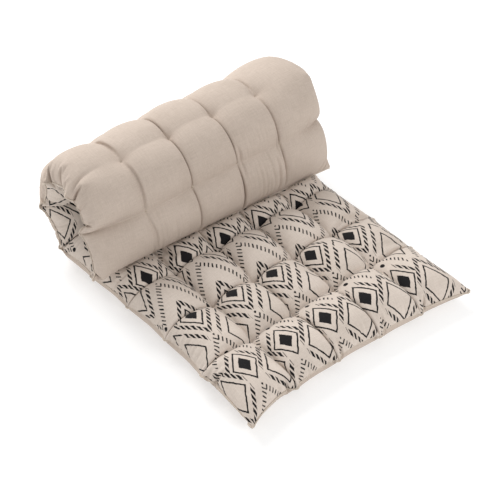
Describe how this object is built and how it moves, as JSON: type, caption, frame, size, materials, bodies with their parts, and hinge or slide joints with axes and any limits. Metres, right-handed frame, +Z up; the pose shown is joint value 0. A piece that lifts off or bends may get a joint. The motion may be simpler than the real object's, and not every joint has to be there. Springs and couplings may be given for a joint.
{
  "type": "futon mattress",
  "caption": "Tufted cotton roll-up mattress, printed on top and plain below, its far half rolled into one loose loop and unrolling along its tuft rows.",
  "frame": {"origin": "on the floor, under the middle of the object's bounding box as stored, half rolled up", "axes": "+X across the width, +Y from the free end towards the roll, +Z up"},
  "size_m": [0.6406, 0.7037, 0.2802],
  "materials": {
    "printed_cotton": "matt woven cotton, ecru, printed with a near-black geometric pattern",
    "plain_cotton": "matt woven cotton, unprinted ecru",
    "cotton_batting": "felted cotton, raw white",
    "seam_thread": "turned seam allowance and cotton thread, matt",
    "tuft_twine": "waxed cotton twine"
  },
  "bodies": {
    "base": {"printed_cover_04": "printed_cotton", "plain_cover_04": "plain_cotton", "cotton_filling_04": "cotton_batting", "side_seam_left_04": "seam_thread", "side_seam_right_04": "seam_thread", "printed_cover_05": "printed_cotton", "plain_cover_05": "plain_cotton", "cotton_filling_05": "cotton_batting", "side_seam_left_05": "seam_thread", "side_seam_right_05": "seam_thread", "tuft_ties_03": "tuft_twine", "tuft_ties_04": "tuft_twine"},
    "strip_03": {"printed_cover_03": "printed_cotton", "plain_cover_03": "plain_cotton", "cotton_filling_03": "cotton_batting", "side_seam_left_03": "seam_thread", "side_seam_right_03": "seam_thread", "tuft_ties_02": "tuft_twine"},
    "strip_02": {"printed_cover_02": "printed_cotton", "plain_cover_02": "plain_cotton", "cotton_filling_02": "cotton_batting", "side_seam_left_02": "seam_thread", "side_seam_right_02": "seam_thread", "tuft_ties_01": "tuft_twine"},
    "strip_01": {"printed_cover_01": "printed_cotton", "plain_cover_01": "plain_cotton", "cotton_filling_01": "cotton_batting", "end_seam_01": "seam_thread"},
    "strip_06": {"printed_cover_06": "printed_cotton", "plain_cover_06": "plain_cotton", "cotton_filling_06": "cotton_batting", "side_seam_left_06": "seam_thread", "side_seam_right_06": "seam_thread", "tuft_ties_05": "tuft_twine"},
    "strip_07": {"printed_cover_07": "printed_cotton", "plain_cover_07": "plain_cotton", "cotton_filling_07": "cotton_batting", "side_seam_left_07": "seam_thread", "side_seam_right_07": "seam_thread", "tuft_ties_06": "tuft_twine"},
    "strip_08": {"printed_cover_08": "printed_cotton", "plain_cover_08": "plain_cotton", "cotton_filling_08": "cotton_batting", "side_seam_left_08": "seam_thread", "side_seam_right_08": "seam_thread", "tuft_ties_07": "tuft_twine"},
    "strip_09": {"printed_cover_09": "printed_cotton", "plain_cover_09": "plain_cotton", "cotton_filling_09": "cotton_batting", "side_seam_left_09": "seam_thread", "side_seam_right_09": "seam_thread", "tuft_ties_08": "tuft_twine"},
    "strip_10": {"printed_cover_10": "printed_cotton", "plain_cover_10": "plain_cotton", "cotton_filling_10": "cotton_batting", "end_seam_10": "seam_thread", "tuft_ties_09": "tuft_twine"}
  },
  "joints": [
    {"name": "fold_row_3", "type": "hinge", "parent": "base", "child": "strip_03", "pos_m": [0, 0.0395, 0.035], "axis": [-1, 0, 0], "range_deg": [0, 45]},
    {"name": "fold_row_2", "type": "hinge", "parent": "strip_03", "child": "strip_02", "pos_m": [0, -0.0805, 0.035], "axis": [-1, 0, 0], "range_deg": [0, 45]},
    {"name": "fold_row_1", "type": "hinge", "parent": "strip_02", "child": "strip_01", "pos_m": [0, -0.2005, 0.035], "axis": [-1, 0, 0], "range_deg": [0, 45]},
    {"name": "unroll_row_5", "type": "hinge", "parent": "base", "child": "strip_06", "pos_m": [0, 0.2715, 0.035], "axis": [1, 0, 0], "range_deg": [-55, 0]},
    {"name": "unroll_row_6", "type": "hinge", "parent": "strip_06", "child": "strip_07", "pos_m": [0, 0.33574, 0.12674], "axis": [1, 0, 0], "range_deg": [-55, 0]},
    {"name": "unroll_row_7", "type": "hinge", "parent": "strip_07", "child": "strip_08", "pos_m": [0, 0.29743, 0.23199], "axis": [1, 0, 0], "range_deg": [-55, 0]},
    {"name": "unroll_row_8", "type": "hinge", "parent": "strip_08", "child": "strip_09", "pos_m": [0, 0.18925, 0.26098], "axis": [1, 0, 0], "range_deg": [-55, 0]},
    {"name": "unroll_row_9", "type": "hinge", "parent": "strip_09", "child": "strip_10", "pos_m": [0, 0.10345, 0.18899], "axis": [1, 0, 0], "range_deg": [-55, 0]}
  ]
}
